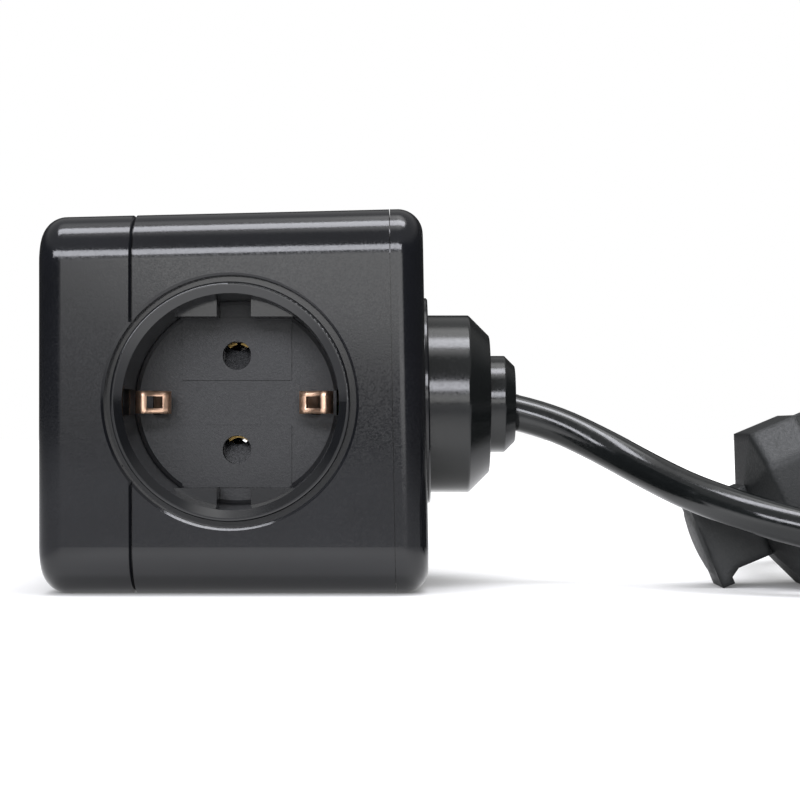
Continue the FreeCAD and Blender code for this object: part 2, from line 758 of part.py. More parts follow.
def wiring():
    """The contact block, its six contacts and the busbars that join them to the cord's three cores."""
    half_contact = "contact_width / 2"
    face = ("block_level", "block_level + bar_thickness")
    tab_y = ("contact_width / 2 + 2 * bar_thickness", "contact_width / 2 + 2 * bar_thickness + bar_width")
    pin_z = ("pin_pitch / 2 - bar_width / 2", "pin_pitch / 2 + bar_width / 2")
    cross_z = ("pin_pitch / 4", "pin_pitch / 4 + bar_width / 2")

    def opposite(span):
        return f"-({span[1]})", f"-({span[0]})"

    live = [
        ((half_contact, face[1]), tab_y, pin_z),
        ((f"pin_pitch / 2 + {half_contact}", face[1]), spread("bar_width / 2"), cross_z),
        (face, (tab_y[0], "pin_pitch / 2"), (f"-{half_contact}", pin_z[1])),
        (face, ("-bar_width / 2", tab_y[1]), cross_z),
    ]
    side = (f"-{half_contact} - 3 * bar_thickness", f"-{half_contact}")
    neutral = [
        ((half_contact, face[1]), opposite(tab_y), opposite(pin_z)),
        (("-pin_pitch / 2 - bar_width / 2", "-pin_pitch / 2 + bar_width / 2"), side, opposite(cross_z)),
        (("-pin_pitch / 2 - bar_width / 2", face[1]), (side[0], f"{side[0]} + bar_thickness"), opposite(cross_z)),
        (face, ("-pin_pitch / 2", opposite(tab_y)[1]), (opposite(pin_z)[0], half_contact)),
    ]
    outer = ("back_level + 0.3", "back_level + 0.3 + strip_thickness")
    behind = ("strap_level", "back_level")
    half_strap = "strip_width / 2"
    rod_y = ("contact_width / 2 + 2 * bar_thickness", "contact_width / 2 + 3.5 * bar_thickness")
    rod_z = ("bar_thickness - block_level", "2.5 * bar_thickness - block_level")
    drop_y = ("pin_pitch / 2 + bar_width", "pin_pitch / 2 + 2 * bar_width")
    across = "bar_width"
    earth = [
        (opposite(behind), (half_strap, rod_y[1]), rod_z),
        (("-back_level", outer[1]), rod_y, rod_z),
        (outer, (rod_y[0], drop_y[1]), rod_z),
        (outer, drop_y, spread("back_level")),
        ((half_strap, outer[1]), drop_y, behind),
        ((half_strap, outer[1]), drop_y, opposite(behind)),
        (outer, spread("back_level"), spread(across)),
        (("clip_foot + strip_thickness / 2", outer[1]), behind, spread(across)),
        (("clip_foot + strip_thickness / 2", outer[1]), opposite(behind), spread(across)),
    ]
    block = box("block_form", spread("block_level"), spread("block_level"), spread("block_level"))
    peg = box("spring_peg", spread("window_width / 2 - 0.3"), ("-peg_low", "-peg_low + peg_width"), ("block_level - 0.2", "block_level + peg_height"))
    pegs = [placed(f"spring_peg_{side_name}", peg, facing(side_name)) for side_name in SIDES]
    channels = contacts()
    slots = [bars("live_slots", live[:2], "contact_play"), bars("neutral_slots", neutral[:3], "contact_play"),
             bars("earth_slot", earth[1:2], "contact_play")]
    keep("contact_block", join("contact_block", cut("block_holes", block, *channels, *slots), *pegs), **CENTRE)
    keep("live_link", bars("live_link", live), **CENTRE)
    keep("neutral_link", bars("neutral_link", neutral), **CENTRE)
    keep("earth_link", bars("earth_link", earth), **CENTRE)

    plate = size.block_level + size.bar_thickness
    earth_plate = size.back_level + 0.3 + size.strip_thickness
    start = size.cord_start
    cores = {
        "live_core": [(start, 0.75, 1.3), (start - 3.5, 0.75, 1.3), (plate + 3.6, 6.3, 6.5), (plate, 6.3, 6.5)],
        "neutral_core": [(start, -1.5, 0), (start - 3.5, -1.5, 0), (plate + 3.6, -6.3, -6.5), (plate, -6.3, -6.5)],
        "earth_core": [(start, 0.75, -1.3), (start - 2.4, 0.75, -1.3), (earth_plate + 2.3, 1.5, -0.8), (earth_plate, 1.5, -0.8)],
    }
    for node, points in cores.items():
        moved = [Vector(x + size.cube_x, y, z + size.half_cube) for x, y, z in points]
        keep(node, tube(node, moved, size.core_diameter))


def outlet():
    """The stepped collar, the gland that the cord leaves by, and the clamp that holds the cord inside."""
    start, end = "right_reach - wall - 2.6", "right_reach + pad_rise + collar_length"
    flange_top = "right_reach - wall - 0.6"
    inside = "collar_radius - collar_wall"
    collar = turned("collar_form", [
        (inside, start),
        ("collar_flange", start),
        ("collar_flange", flange_top),
        ("collar_radius", flange_top),
        ("collar_radius", f"{end} - collar_bevel"),
        ("collar_radius - collar_bevel", end),
        ("gland_neck + fit_gap", end),
        ("gland_neck + fit_gap", f"{end} - collar_wall"),
        (inside, f"{end} - collar_wall"),
    ])
    end_level = size.outlet_end - size.gland_length

    def bevel_edge(edge):
        return (circle_at(size.collar_radius, end_level - size.collar_bevel)(edge)
                or circle_at(size.collar_radius - size.collar_bevel, end_level)(edge))

    rounded(collar, "edge_round", bevel_edge)
    seat(collar, rotation=ALONG["x"])
    clamp_x = ("clamp_start", "clamp_start + clamp_width")
    seat_block = box("clamp_seat", clamp_x, spread("clamp_half_length - 1"), (f"1 - ({inside})", "-clamp_split"))
    groove = rod("clamp_groove", "cord_diameter / 2 + 0.05", ("clamp_start - 1", "clamp_start + clamp_width + 1"), "x")
    middle_x = "clamp_start + clamp_width / 2"
    pilots, passes = [], []
    for i, s in enumerate((1, -1)):
        at = {"x": middle_x, "y": f"{s} * clamp_screw_offset"}
        pilots.append(rod(f"clamp_pilot_{i}", "screw_radius + 0.05", ("clamp_height / 2 - clamp_screw_length - 1", "1"), "z", **at))
        passes.append(rod(f"clamp_pass_{i}", "screw_radius + 0.3", ("-1", "2 * clamp_height"), "z", **at))
    base = cut("clamp_base", seat_block, groove, *pilots)
    keep("outlet_collar", join("outlet_collar", collar, base), **CENTRE)

    bar = box("clamp_bar", clamp_x, spread("clamp_half_length"), ("clamp_split", "clamp_height"))
    shoulders = [
        box(f"clamp_shoulder_{i}", ("clamp_start - 1", "clamp_start + clamp_width + 1"), limits, ("clamp_height / 2", "2 * clamp_height"))
        for i, limits in enumerate((("clamp_screw_offset - 3.2", "2 * clamp_half_length"), ("-2 * clamp_half_length", "3.2 - clamp_screw_offset")))
    ]
    keep("cord_clamp", cut("cord_clamp", bar, groove, *shoulders, *passes), **CENTRE)
    screws = []
    for i, s in enumerate((1, -1)):
        screw = turned(f"clamp_screw_{i}", [
            ("0", "-clamp_screw_length"),
            ("screw_radius", "-clamp_screw_length + screw_radius"),
            ("screw_radius", "0"),
            ("screw_head_radius", "0"),
            ("screw_head_radius", "screw_head_height - 0.5"),
            ("screw_head_radius - 0.9", "screw_head_height"),
            ("0", "screw_head_height"),
        ])
        screws.append(seat(screw, middle_x, f"{s} * clamp_screw_offset", "clamp_height / 2"))
    pair = DOC.addObject("Part::Compound", "clamp_screws")
    pair.Links = screws
    keep("clamp_screws", pair, **CENTRE)

    gland = turned("cord_gland", [
        ("cord_diameter / 2 + fit_gap", f"{end} - collar_wall - 2"),
        ("gland_neck + 3", f"{end} - collar_wall - 2"),
        ("gland_neck + 3", f"{end} - collar_wall - 0.05"),
        ("gland_neck", f"{end} - collar_wall - 0.05"),
        ("gland_neck", f"{end} + 0.05"),
        ("gland_radius", f"{end} + 0.05"),
        ("gland_radius", "outlet_end - gland_bevel"),
        ("gland_radius - gland_bevel", "outlet_end"),
        ("gland_mouth", "outlet_end"),
        ("cord_diameter / 2 + fit_gap", f"{end} - collar_wall - 1.7"),
    ])

    def gland_edge(edge):
        return (circle_at(size.gland_radius, size.outlet_end - size.gland_bevel)(edge)
                or circle_at(size.gland_radius - size.gland_bevel, size.outlet_end)(edge))

    rounded(gland, "edge_round / 2", gland_edge)
    keep("cord_gland", gland, **CENTRE, rotation=ALONG["x"])


def cord_exit():
    """Where the cord starts to bend inside the gland, and where it leaves the gland."""
    bend = Vector(size.cord_bend + size.cube_x, 0, size.half_cube)
    return bend, Vector(size.outlet_end + size.cube_x, -size.cord_sway, size.half_cube - size.cord_droop)


# The lead's route from the gland to the coil and the tail's route from the coil to the plug, between
# straight runs along the cord's own direction at the gland, at the coil and at the plug
GLAND_RUN = 7.6
COIL_RUN = 27.5
TAIL_RUN = 17.2
LEAD_ROUTE = [
    (65.5, -5.5, 28.9),
    (74.3, -12.9, 23.7),
    (81.4, -22.4, 19.8),
    (89.1, -30.2, 16.8),
    (98.7, -36.7, 13.7),
    (112.7, -41.9, 10.6),
    (127.7, -42.9, 7.8),
    (142.3, -39.5, 5.6),
    (156.3, -31.8, 4.3),
]
TAIL_ROUTE = [
    (113.0, 64.2, 13.6),
]


def coil_point(half_turns):
    """The wound cord's centre line and heading, this many half turns from where it comes in."""
    down = size.layer_half_turns
    step = size.coil_pitch / 2
    angle = math.pi * half_turns + math.radians(size.coil_entry - 90)
    inner = size.coil_radius - down * step
    around = Vector(-math.sin(angle), math.cos(angle), 0)
    outwards = Vector(math.cos(angle), math.sin(angle), 0)
    if half_turns < down:
        radius, climbed, change = size.coil_radius - step * half_turns, 0, outwards * -step
    elif half_turns <= down + 1:
        radius, climbed, change = inner, half_turns - down, Vector(0, 0, size.coil_layer)
    else:
        radius, climbed, change = inner + step * (half_turns - down - 1), 1, outwards * step
    level = half_turns in (0, down, down + 1, 2 * down + 1)
    heading = around if level else (around * math.pi * radius + change).normalize()
    middle = Vector(size.coil_x, size.coil_y, size.cord_diameter / 2 + size.coil_lift + size.coil_layer * climbed)
    return middle + outwards * radius, heading


def coil_edges():
    """Turns that spiral in, climb a layer in half a turn and spiral out, with a straight run at each end."""
    edges = []
    for quarter in range(2 * (2 * int(size.layer_half_turns) + 1)):
        edges.extend(biarc(*coil_point(quarter / 2), *coil_point((quarter + 1) / 2)))
    start, entering = coil_point(0)
    end, leaving = coil_point(2 * size.layer_half_turns + 1)
    run_in = Part.LineSegment(start - entering * size.cord_diameter, start).toShape()
    run_out = Part.LineSegment(end, end + leaving * size.cord_diameter).toShape()
    return [run_in, *edges, run_out]


def biarc(start, leave, end, arrive):
    """Two arcs that join two points along the headings given there."""
    gap = end - start
    total = leave + arrive
    square = 2 * (1 - leave.dot(arrive))
    linear = 2 * gap.dot(total)
    if square < 1e-9:
        reach = gap.dot(gap) / linear
    else:
        reach = (math.sqrt(linear * linear + 4 * square * gap.dot(gap)) - linear) / (2 * square)
    middle = (start + leave * reach + end - arrive * reach) / 2
    first = arc_from(start, leave, middle)
    back = arc_from(end, arrive * -1, middle)
    return [first, Part.Arc(middle, back.valueAt((back.FirstParameter + back.LastParameter) / 2), end).toShape()]


def least_gap(edges, diameter):
    """The least gap between stretches of a wound cord that lie more than half a turn apart."""
    points, travelled = [], 0.0
    for edge in edges:
        steps = max(2, int(edge.Length / 1.5))
        for i in range(steps):
            share = i / steps
            point = edge.valueAt(edge.FirstParameter + share * (edge.LastParameter - edge.FirstParameter))
            points.append((travelled + share * edge.Length, point))
        travelled += edge.Length
    half_turn = math.pi * size.coil_radius / 2
    return min(
        (a - b).Length for i, (s, a) in enumerate(points) for t, b in points[i + 1:] if t - s > half_turn
    ) - diameter


def cord():
    bend, leaves = cord_exit()
    inner_start = Vector(size.cord_start + size.cube_x, 0, size.half_cube)
    keep("cord_end", tube("cord_end", [inner_start, bend, leaves], size.cord_diameter))

    edges = coil_edges()
    entry, entering = edges[0].valueAt(edges[0].FirstParameter), edges[0].tangentAt(edges[0].FirstParameter)
    exit_point, leaving = edges[-1].valueAt(edges[-1].LastParameter), edges[-1].tangentAt(edges[-1].LastParameter)
    coil = DOC.addObject("Part::Feature", "cord_coil")
    coil.Shape = swept(edges, round_profile(entry, entering, size.cord_diameter))
    report_tube("cord_coil", edges, coil.Shape, size.cord_diameter)
    print(f"cord_coil: least gap {least_gap(edges, size.cord_diameter):.2f}")
    keep("cord_coil", coil)

    lead = [leaves, leaves + (leaves - bend).normalize() * GLAND_RUN, *LEAD_ROUTE, entry - entering * COIL_RUN, entry]
    keep("cord_lead", tube("cord_lead", lead, size.cord_diameter))
    relief = plug_point(size.relief_offset, 0, size.head_half + size.relief_length)
    tail = [exit_point, exit_point + leaving * TAIL_RUN, *TAIL_ROUTE, relief + Vector(0, TAIL_RUN, 0), relief]
    keep("cord_tail", tube("cord_tail", tail, size.cord_diameter))


# The plug lies on the rim of its grip and the rim of its head, with its pins pointing up and away
plug_tilt = math.atan2(size.head_half - size.grip_half_height, size.grip_end + size.head_start)
plug_z = size.grip_end * math.sin(plug_tilt) + size.grip_half_height * math.cos(plug_tilt)


def plug_turn():
    return Rotation(Vector(0, 1, 0), -math.degrees(plug_tilt))


def plug_point(along, up, behind):
    """A point of the plug, from distances along its axis, above it and behind it."""
    return Vector(size.plug_x, size.plug_y, plug_z) + plug_turn().multVec(Vector(along, behind, up))


def lay_plug(node, thing, inner=Rotation(), along=0.0, up=0.0, behind=0.0):
    """Puts a piece of the plug in its place on the lying plug."""
    thing.Label = node
    thing.Placement = Placement(plug_point(along, up, behind), plug_turn() * inner)
    NODES[node] = thing


def octagon(half, corner, x):
    """An eight-sided outline square to the plug's axis."""
    near = half - corner
    pairs = [(-near, -half), (near, -half), (half, -near), (half, near), (near, half), (-near, half), (-half, near), (-half, -near)]
    points = [Vector(x, y, z) for y, z in pairs]
    return Part.makePolygon(points + points[:1])


def plug():
    grip = padded("grip_form", "XZ_Plane", [
        ("-grip_end", "-grip_half_height"),
        ("grip_flange - grip_end", "-grip_half_height"),
        ("grip_flange - grip_end", "-neck_half_height - 1.2"),
        ("-neck_start", "-neck_half_height"),
        ("-neck_end", "-neck_half_height"),
        ("-neck_end", "neck_half_height"),
        ("-neck_start", "neck_half_height"),
        ("grip_flange - grip_end", "neck_half_height + 1.2"),
        ("grip_flange - grip_end", "grip_half_height"),
        ("-grip_end", "grip_half_height"),
    ], "2 * grip_half_depth")
    dome = turned("grip_dome", [
        ("0", "0"),
        ("neck_half_height + 0.4", "0"),
        ("neck_half_height - 0.9", "grip_dome * 0.55"),
        ("neck_half_height - 3.3", "grip_dome * 0.9"),
        ("0", "grip_dome"),
    ])
    seat(dome, "-grip_end", rotation=Rotation(Vector(0, 1, 0), -90))
    lay_plug("plug_grip", join("plug_grip", grip, dome))

    flare = DOC.addObject("Part::Feature", "head_flare")
    neck = octagon(size.neck_half_height, 2.0, -size.neck_end)
    rim = octagon(size.head_half, size.head_corner, size.head_start)
    shoulder = octagon(size.head_half, size.head_corner, size.head_start + size.head_length)
    flare.Shape = Part.makeLoft([neck, rim], True, True).fuse(Part.makeLoft([rim, shoulder], True, True)).removeSplitter()
    nose_start = "head_start + head_length"
    nose = turned("head_nose", [
        ("0", f"{nose_start} - 1"),
        ("nose_radius", f"{nose_start} - 1"),
        ("nose_radius", f"{nose_start} + nose_length - nose_bevel"),
        ("nose_radius - nose_bevel", f"{nose_start} + nose_length"),
        ("0", f"{nose_start} + nose_length"),
    ])
    seat(nose, rotation=ALONG["x"])
    face = f"{nose_start} + nose_length"
    holes = [
        rod(f"plug_pin_seat_{i}", "pin_root_radius", (f"{face} - pin_root", f"{face} + 1"), "x", y=f"{s} * pin_pitch / 2")
        for i, s in enumerate((1, -1))
    ]
    earth_hole = rod("plug_earth_hole", "earth_hole_radius", (f"{face} - 7", f"{face} + 1"), "x", z="nose_radius * 0.6")
    grooves = [
        box(f"earth_groove_{i}", (f"{nose_start} + 1", f"{face} + 1"), spread("earth_groove_width / 2"), limits)
        for i, limits in enumerate((
            ("nose_radius - earth_groove_depth", "2 * nose_radius"), ("-2 * nose_radius", "earth_groove_depth - nose_radius")))
    ]
    lay_plug("plug_head", cut("plug_head", join("plug_head_form", flare, nose), *holes, earth_hole, *grooves))

    start = size.head_start + size.head_length + size.nose_length
    pins = []
    for i, s in enumerate((1, -1)):
        pin = turned(f"plug_pin_{i}", [
            ("0", "-pin_root"),
            ("pin_root_radius", "-pin_root"),
            ("pin_root_radius", "0"),
            ("pin_radius", "0"),
            ("pin_radius", "pin_length - pin_radius"),
            ("pin_radius * 0.86", "pin_length - pin_radius * 0.5"),
            ("pin_radius * 0.5", "pin_length - pin_radius * 0.13"),
            ("0", "pin_length"),
        ])
        pin.Placement = Placement(Vector(start, s * size.pin_pitch / 2, 0), ALONG["x"])
        pins.append(pin)
    pair = DOC.addObject("Part::Compound", "plug_pins")
    pair.Links = pins
    lay_plug("plug_pins", pair)

    strips = []
    for i, s in enumerate((1, -1)):
        low = size.nose_radius - size.earth_groove_depth
        z = low if s > 0 else -low - size.strip_thickness
        strips.append(box(f"earth_strip_{i}", (f"{nose_start} + 1", face), spread("earth_strip_width / 2"), (str(z), str(z + size.strip_thickness))))
    strip_pair = DOC.addObject("Part::Compound", "plug_earth_strips")
    strip_pair.Links = strips
    lay_plug("plug_earth_strips", strip_pair)

    relief = turned("plug_strain_relief", [
        ("0", "0"),
        ("relief_base_radius", "0"),
        ("relief_base_radius", "2.5"),
        ("relief_tip_radius", "relief_length"),
        ("0", "relief_length"),
    ])
    lay_plug("plug_strain_relief", relief, ALONG["y"], along=size.relief_offset, behind=size.head_half)


def check_and_write():
    """Stops on any failed object or shape, then writes one file for each node."""
    DOC.recompute()
    for thing in DOC.Objects:
        state = [word for word in thing.State if word in ("Invalid", "Error")]
        if state:
            raise RuntimeError(f"{thing.Name} ({thing.Label}) is {state}")
    for node, thing in NODES.items():
        if thing.Shape.isNull() or not thing.Shape.isValid() or not thing.Shape.Solids:
            raise RuntimeError(f"{node} has no valid shape")
    os.makedirs("parts", exist_ok=True)
    for node, thing in NODES.items():
        thing.Shape.exportStep(f"parts/{node}.step")
        bounds = thing.Shape.BoundBox
        print(f"{node}: {len(thing.Shape.Solids)} solid(s), {bounds.XLength:.1f} x {bounds.YLength:.1f} x {bounds.ZLength:.1f}")


housing()
sockets()
wiring()
outlet()
plug()
cord()
check_and_write()
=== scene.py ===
import json
import math

import bmesh
import bpy
from bpy.props import FloatProperty, FloatVectorProperty, IntProperty, PointerProperty
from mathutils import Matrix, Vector


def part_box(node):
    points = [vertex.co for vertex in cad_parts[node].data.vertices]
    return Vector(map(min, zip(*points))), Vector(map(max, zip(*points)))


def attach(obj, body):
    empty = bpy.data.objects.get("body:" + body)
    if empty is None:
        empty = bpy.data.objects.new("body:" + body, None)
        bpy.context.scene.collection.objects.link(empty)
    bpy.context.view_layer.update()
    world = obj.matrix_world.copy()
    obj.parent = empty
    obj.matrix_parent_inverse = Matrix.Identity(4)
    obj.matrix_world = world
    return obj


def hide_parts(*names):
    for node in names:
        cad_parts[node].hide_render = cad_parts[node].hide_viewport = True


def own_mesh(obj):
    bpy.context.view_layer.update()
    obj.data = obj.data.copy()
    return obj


bl_info = {
    "name": "Extension lead",
    "version": (1, 0, 0),
    "blender": (4, 5, 0),
    "location": "3D View > Sidebar > Lead",
    "description": "Finishes, cord, earth clips, springs and studio for a cube-shaped extension lead",
    "category": "Object",
}

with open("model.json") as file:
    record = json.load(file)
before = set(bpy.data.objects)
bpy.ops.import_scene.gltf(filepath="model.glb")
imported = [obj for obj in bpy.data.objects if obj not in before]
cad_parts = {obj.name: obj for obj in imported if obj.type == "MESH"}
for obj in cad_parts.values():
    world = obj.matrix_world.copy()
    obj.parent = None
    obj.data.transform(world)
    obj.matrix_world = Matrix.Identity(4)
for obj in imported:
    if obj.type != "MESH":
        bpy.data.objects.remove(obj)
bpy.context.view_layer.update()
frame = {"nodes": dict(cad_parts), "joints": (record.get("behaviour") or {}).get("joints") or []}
JOINTS = {joint["name"]: joint for joint in frame["joints"]}
OUTWARD = {"front": (0, -1, 0), "back": (0, 1, 0), "top": (0, 0, 1), "bottom": (0, 0, -1), "left": (-1, 0, 0)}
# The point where the sockets' axes meet
CUBE_MIDDLE = (-0.00965, 0, 0.0377)


def linear(code):
    """A colour written as an sRGB hex code, as linear red, green and blue."""
    levels = [int(code[i:i + 2], 16) / 255 for i in (1, 3, 5)]
    return tuple(v / 12.92 if v <= 0.04045 else ((v + 0.055) / 1.055) ** 2.4 for v in levels)


def colour(title, description, code):
    return FloatVectorProperty(
        name=title, description=description, subtype="COLOR", default=linear(code), min=0, max=1)


def length(title, description, metres):
    return FloatProperty(
        name=title, description=description, unit="LENGTH", default=metres, min=0, precision=5)


# Properties


class LeadFinishes(bpy.types.PropertyGroup):
    housing: colour("Housing", "Colour of the three housing shells", "#141518")
    socket: colour("Sockets", "Colour of the five socket inserts", "#141517")
    outlet: colour("Outlet", "Colour of the collar and the gland", "#141616")
    sheath: colour("Cord sheath", "Colour of the cord's outside", "#151717")
    plug: colour("Plug", "Colour of the plug's moulding", "#1B1D1D")
    clip: colour("Earth clips", "Colour of the bronze strip", "#EFC8AC")
    # The contacts' brass is darkened as painted shade for the contacts that sit in the pin holes
    brass: colour("Contacts", "Colour of the contacts and busbars", "#A88E58")
    plating: colour("Plating", "Colour of the plated pins and screws", "#D6D4CE")
    block: colour("Contact block", "Colour of the block that holds the contacts", "#D8D4C8")
    grain: length("Housing grain", "Distance between the grains of the housing's surface", 0.00035)
    plug_grain: length("Plug grain", "Distance between the grains of the plug's surface", 0.0006)


class LeadSizes(bpy.types.PropertyGroup):
    cord_diameter: length("Cord diameter", "Diameter over the sheath", 0.0076)
    cord_length: length("Cord length", "Free length from the gland to the plug's strain relief", 1.49)
    coil_x: length("Coil centre X", "Middle of the coil, along the part", 0.1784)
    coil_y: length("Coil centre Y", "Middle of the coil, behind the part's centre line", 0.0495)
    coil_radius: length("Coil radius", "From the middle to the centre of the outermost turn", 0.0536)
    coil_pitch: length("Coil pitch", "Distance between neighbouring turns", 0.0096)
    coil_layer: length("Coil layer", "Rise from the lower layer to the upper one", 0.0083)
    coil_points: IntProperty(
        name="Coil points", description="Control points for half a turn", default=12, min=6, max=24)
    spring_wire: length("Spring wire", "Diameter of the shutter springs' wire", 0.0004)
    spring_turns: FloatProperty(
        name="Spring turns", description="Turns of each shutter spring", default=4, min=2, max=8)


# Materials

# The tone of a moulding drifts over this distance, in millimetres
CLOUD = 14.0
# How far the sockets' floors lie from the cube's middle, and the step over which the finish changes there
FLOOR_REACH = 0.0212
FLOOR_FADE = 0.0005
# The earth core's stripes lie this many millimetres apart
STRIPE = 1.9635
# The bands of a wave texture whose scale is 1 lie this many metres apart
WAVE_BAND = math.tau / 20


def add(tree, kind, inputs=None, **settings):
    """Adds a node with its settings; an input takes a value, an output, or a node for its first output."""
    made = tree.nodes.new(kind)
    for name, value in settings.items():
        setattr(made, name, value)
    for socket, value in (inputs or {}).items():
        if isinstance(value, bpy.types.Node):
            value = next(output for output in value.outputs if output.enabled)
        if isinstance(value, bpy.types.NodeSocket):
            tree.links.new(value, made.inputs[socket])
        else:
            made.inputs[socket].default_value = value
    return made


def started(name):
    """A new material, its empty node tree, and the place on the part, in the part's own frame."""
    material = bpy.data.materials.new(name)
    material.use_nodes = True
    tree = material.node_tree
    tree.nodes.clear()
    return material, tree, add(tree, "ShaderNodeTexCoord").outputs["Object"]


def spaced(place, millimetres, detail=2.0, roughness=0.5):
    """The inputs of noise whose features lie this many millimetres apart."""
    return {"Vector": place, "Scale": 1000 / millimetres, "Detail": detail, "Roughness": roughness}


def spread(value, low, high, start=0.3, end=0.7):
    """The inputs of a range that goes from low to high while the value goes from start to end."""
    return {"Value": value, "From Min": start, "From Max": end, "To Min": low, "To Max": high}


def mottled(tree, place, base, apart, detail=3.0, darker=0.85, lighter=1.18):
    """The base colour, a little darker and lighter in patches this many millimetres apart."""
    patches = add(tree, "ShaderNodeTexNoise", spaced(place, apart, detail))
    ramp = add(tree, "ShaderNodeValToRGB", {"Fac": patches})
    dark, light = ramp.color_ramp.elements
    dark.position = 0.3
    dark.color = (*(v * darker for v in base), 1)
    light.position = 0.7
    light.color = (*(min(1, v * lighter) for v in base), 1)
    return ramp


def moulded_plastic(name, base, grain, relief, gloss, ior=1.47, edge=0.0):
    """Injection-moulded plastic: a grained tool leaves a fine even texture that breaks up its gloss.

    The grain, in metres, is a few times coarser than a tool's real one, so that it shows. The relief is in
    millimetres, and the edge, in metres, is the radius over which edges are softened.
    """
    material, tree, place = started(name)
    grains = add(tree, "ShaderNodeTexNoise", spaced(place, grain * 1000, detail=1.5, roughness=0.6))
    bump = {"Height": grains, "Distance": relief / 1000}
    if edge:
        bump["Normal"] = add(tree, "ShaderNodeBevel", {"Radius": edge}, samples=8)
    shader = add(tree, "ShaderNodeBsdfPrincipled", {
        "Base Color": mottled(tree, place, base, CLOUD),
        "Roughness": add(tree, "ShaderNodeMapRange", spread(grains, gloss - 0.05, gloss + 0.07)),
        "IOR": ior,
        "Normal": add(tree, "ShaderNodeBump", bump),
    })
    add(tree, "ShaderNodeOutputMaterial", {"Surface": shader})
    return material


def eroded_insert(name, base, gloss, floor_gloss, grain=0.4, relief=0.03):
    """Moulded plastic whose recessed floors are eroded matt while the rings round them are polished.

    The grain and the relief of the floors are in millimetres, and coarser than real, so that they show.
    """
    material, tree, place = started(name)
    middle = add(tree, "ShaderNodeVectorMath", {0: place, 1: CUBE_MIDDLE}, operation="SUBTRACT")
    apart = add(tree, "ShaderNodeVectorMath", {0: middle}, operation="ABSOLUTE")
    x, y, z = add(tree, "ShaderNodeSeparateXYZ", {0: apart}).outputs
    furthest = add(tree, "ShaderNodeMath", {0: x, 1: y}, operation="MAXIMUM")
    furthest = add(tree, "ShaderNodeMath", {0: furthest, 1: z}, operation="MAXIMUM")
    above = add(tree, "ShaderNodeMapRange", spread(furthest, 0, 1, FLOOR_REACH, FLOOR_REACH + FLOOR_FADE))
    grains = add(tree, "ShaderNodeTexNoise", spaced(place, grain, detail=1.5, roughness=0.6))
    matt = add(tree, "ShaderNodeMapRange", spread(grains, floor_gloss - 0.06, floor_gloss + 0.06))
    fade = add(tree, "ShaderNodeMapRange", spread(above, 1, 0.1, 0, 1))
    height = add(tree, "ShaderNodeMath", {0: grains, 1: fade}, operation="MULTIPLY")
    shader = add(tree, "ShaderNodeBsdfPrincipled", {
        "Base Color": mottled(tree, place, base, CLOUD),
        "Roughness": add(tree, "ShaderNodeMix", {"Factor": above, "A": matt, "B": gloss}),
        "IOR": 1.53,
        "Normal": add(tree, "ShaderNodeBump", {"Height": height, "Distance": relief / 1000}),
    })
    add(tree, "ShaderNodeOutputMaterial", {"Surface": shader})
    return material


def drawn_metal(name, base, gloss):
    """Metal drawn, rolled or turned: fine tool marks blur its gloss, and a little tarnish dulls it.

    The marks, 0.4 mm apart, are coarser than real ones, so that they show.
    """
    material, tree, place = started(name)
    marks = add(tree, "ShaderNodeTexNoise", spaced(place, 0.4))
    shader = add(tree, "ShaderNodeBsdfPrincipled", {
        "Base Color": mottled(tree, place, base, 3.0, darker=0.8, lighter=1.08),
        "Metallic": 1.0,
        "Roughness": add(tree, "ShaderNodeMapRange", spread(marks, gloss - 0.06, gloss + 0.1)),
        "Normal": add(tree, "ShaderNodeBump", {"Height": marks, "Distance": 0.008 / 1000}),
    })
    add(tree, "ShaderNodeOutputMaterial", {"Surface": shader})
    return material


def striped_insulation(name, base, stripe):
    """Extruded PVC in two colours: a stripe of the second runs along the core."""
    material, tree, place = started(name)
    scale = WAVE_BAND * 1000 / STRIPE
    bands = add(tree, "ShaderNodeTexWave", {"Vector": place, "Scale": scale}, bands_direction="Y")
    mixed = add(tree, "ShaderNodeMix", {
        "Factor": add(tree, "ShaderNodeMapRange", spread(bands.outputs["Fac"], 0, 1, 0.45, 0.55)),
        "A": (*base, 1),
        "B": (*stripe, 1),
    }, data_type="RGBA")
    grains = add(tree, "ShaderNodeTexNoise", spaced(place, 0.8))
    shader = add(tree, "ShaderNodeBsdfPrincipled", {
        "Base Color": mixed,
        "Roughness": add(tree, "ShaderNodeMapRange", spread(grains, 0.35, 0.5)),
        "IOR": 1.53,
    })
    add(tree, "ShaderNodeOutputMaterial", {"Surface": shader})
    return material


def give(material, *nodes):
    """Puts a material on CAD nodes, on every slot that each has."""
    for name in nodes:
        mesh = frame["nodes"][name].data
        if not mesh.materials:
            mesh.materials.append(material)
        for i in range(len(mesh.materials)):
            mesh.materials[i] = material


# Meshes


def linked(made, name):
    """A built mesh as an object of the scene."""
    bmesh.ops.recalc_face_normals(made, faces=made.faces)
    mesh = bpy.data.meshes.new(name)
    made.to_mesh(mesh)
    made.free()
    piece = bpy.data.objects.new(name, mesh)
    bpy.context.scene.collection.objects.link(piece)
    return piece


